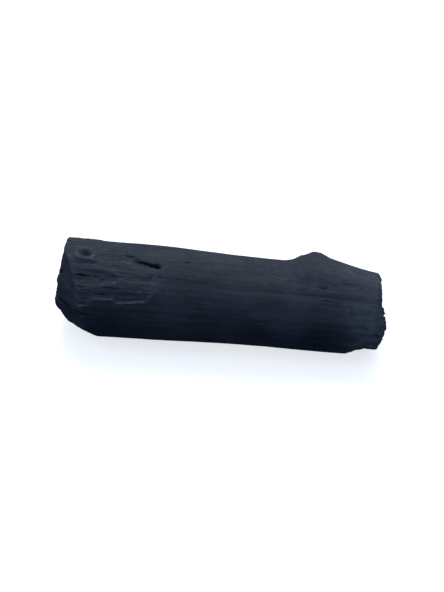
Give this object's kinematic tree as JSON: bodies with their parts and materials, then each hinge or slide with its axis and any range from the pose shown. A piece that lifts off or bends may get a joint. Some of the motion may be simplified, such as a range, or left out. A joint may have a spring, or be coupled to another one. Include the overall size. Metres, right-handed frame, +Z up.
{
  "type": "charcoal lump",
  "caption": "Short length of branch wood carbonised whole, lying on its side, with a hewn end, a snapped end, knots and drying cracks.",
  "frame": {"origin": "middle of the lump's box, on the flat spot that it rests on", "axes": "+X along the grain from the hewn end to the snapped end, +Z up, -Y to the front"},
  "size_m": [0.1406, 0.0418, 0.0419],
  "materials": {
    "charcoal": "matte"
  },
  "bodies": {
    "root": {"charcoal_lump": "charcoal"}
  },
  "joints": []
}
